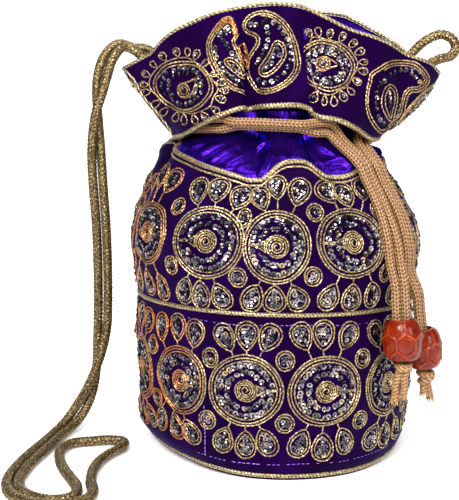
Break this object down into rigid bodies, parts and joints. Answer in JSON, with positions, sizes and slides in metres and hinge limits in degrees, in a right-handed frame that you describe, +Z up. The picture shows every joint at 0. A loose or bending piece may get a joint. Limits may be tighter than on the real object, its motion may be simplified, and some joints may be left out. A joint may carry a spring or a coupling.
{
  "type": "potli bag",
  "caption": "Round-based drawstring pouch of embroidered velvet with a gathered satin neck, a flared collar, beaded drawcords and gold hand loops.",
  "frame": {"origin": "centre of the round base, on the surface that the bag stands on", "axes": "+Z up, -Y towards the front of the bag, +X to its right in the picture"},
  "size_m": [0.2177, 0.1918, 0.2343],
  "materials": {
    "violet_velvet": "short-pile velvet",
    "violet_satin": "bright satin",
    "grey_board": "grey pressed board, hidden between the base and the lining",
    "gold_zari": "metallic gold thread twisted round a cord",
    "peach_braid": "satin braid with a chevron",
    "gold_knit": "knitted tube of metallic gold yarn",
    "orange_bead": "glossy, moulded with raised lines"
  },
  "bodies": {
    "bag": {"base_panel": "violet_velvet", "base_board": "grey_board", "lower_band": "violet_velvet", "upper_band": "violet_velvet", "satin_neck": "violet_satin", "lining": "violet_satin", "collar": "violet_velvet", "collar_facing": "violet_satin", "base_piping": "gold_zari", "middle_piping": "gold_zari", "neck_piping": "gold_zari", "collar_lower_piping": "gold_zari", "collar_rim_piping": "gold_zari", "drawcord_lower": "peach_braid", "drawcord_upper": "peach_braid", "knot_front": "peach_braid", "knot_rear": "peach_braid", "hand_loop": "gold_knit", "small_loop": "gold_knit"},
    "bead_front": {"bead_front": "orange_bead"},
    "bead_rear": {"bead_rear": "orange_bead"}
  },
  "joints": [
    {"name": "bead_front_slide", "type": "slide", "parent": "bag", "child": "bead_front", "axis": [-0.074, 0.0829, 0.9938], "range_m": [0, 0.012]},
    {"name": "bead_rear_slide", "type": "slide", "parent": "bag", "child": "bead_rear", "axis": [-0.1413, -0.0148, 0.9899], "range_m": [0, 0.012]}
  ]
}
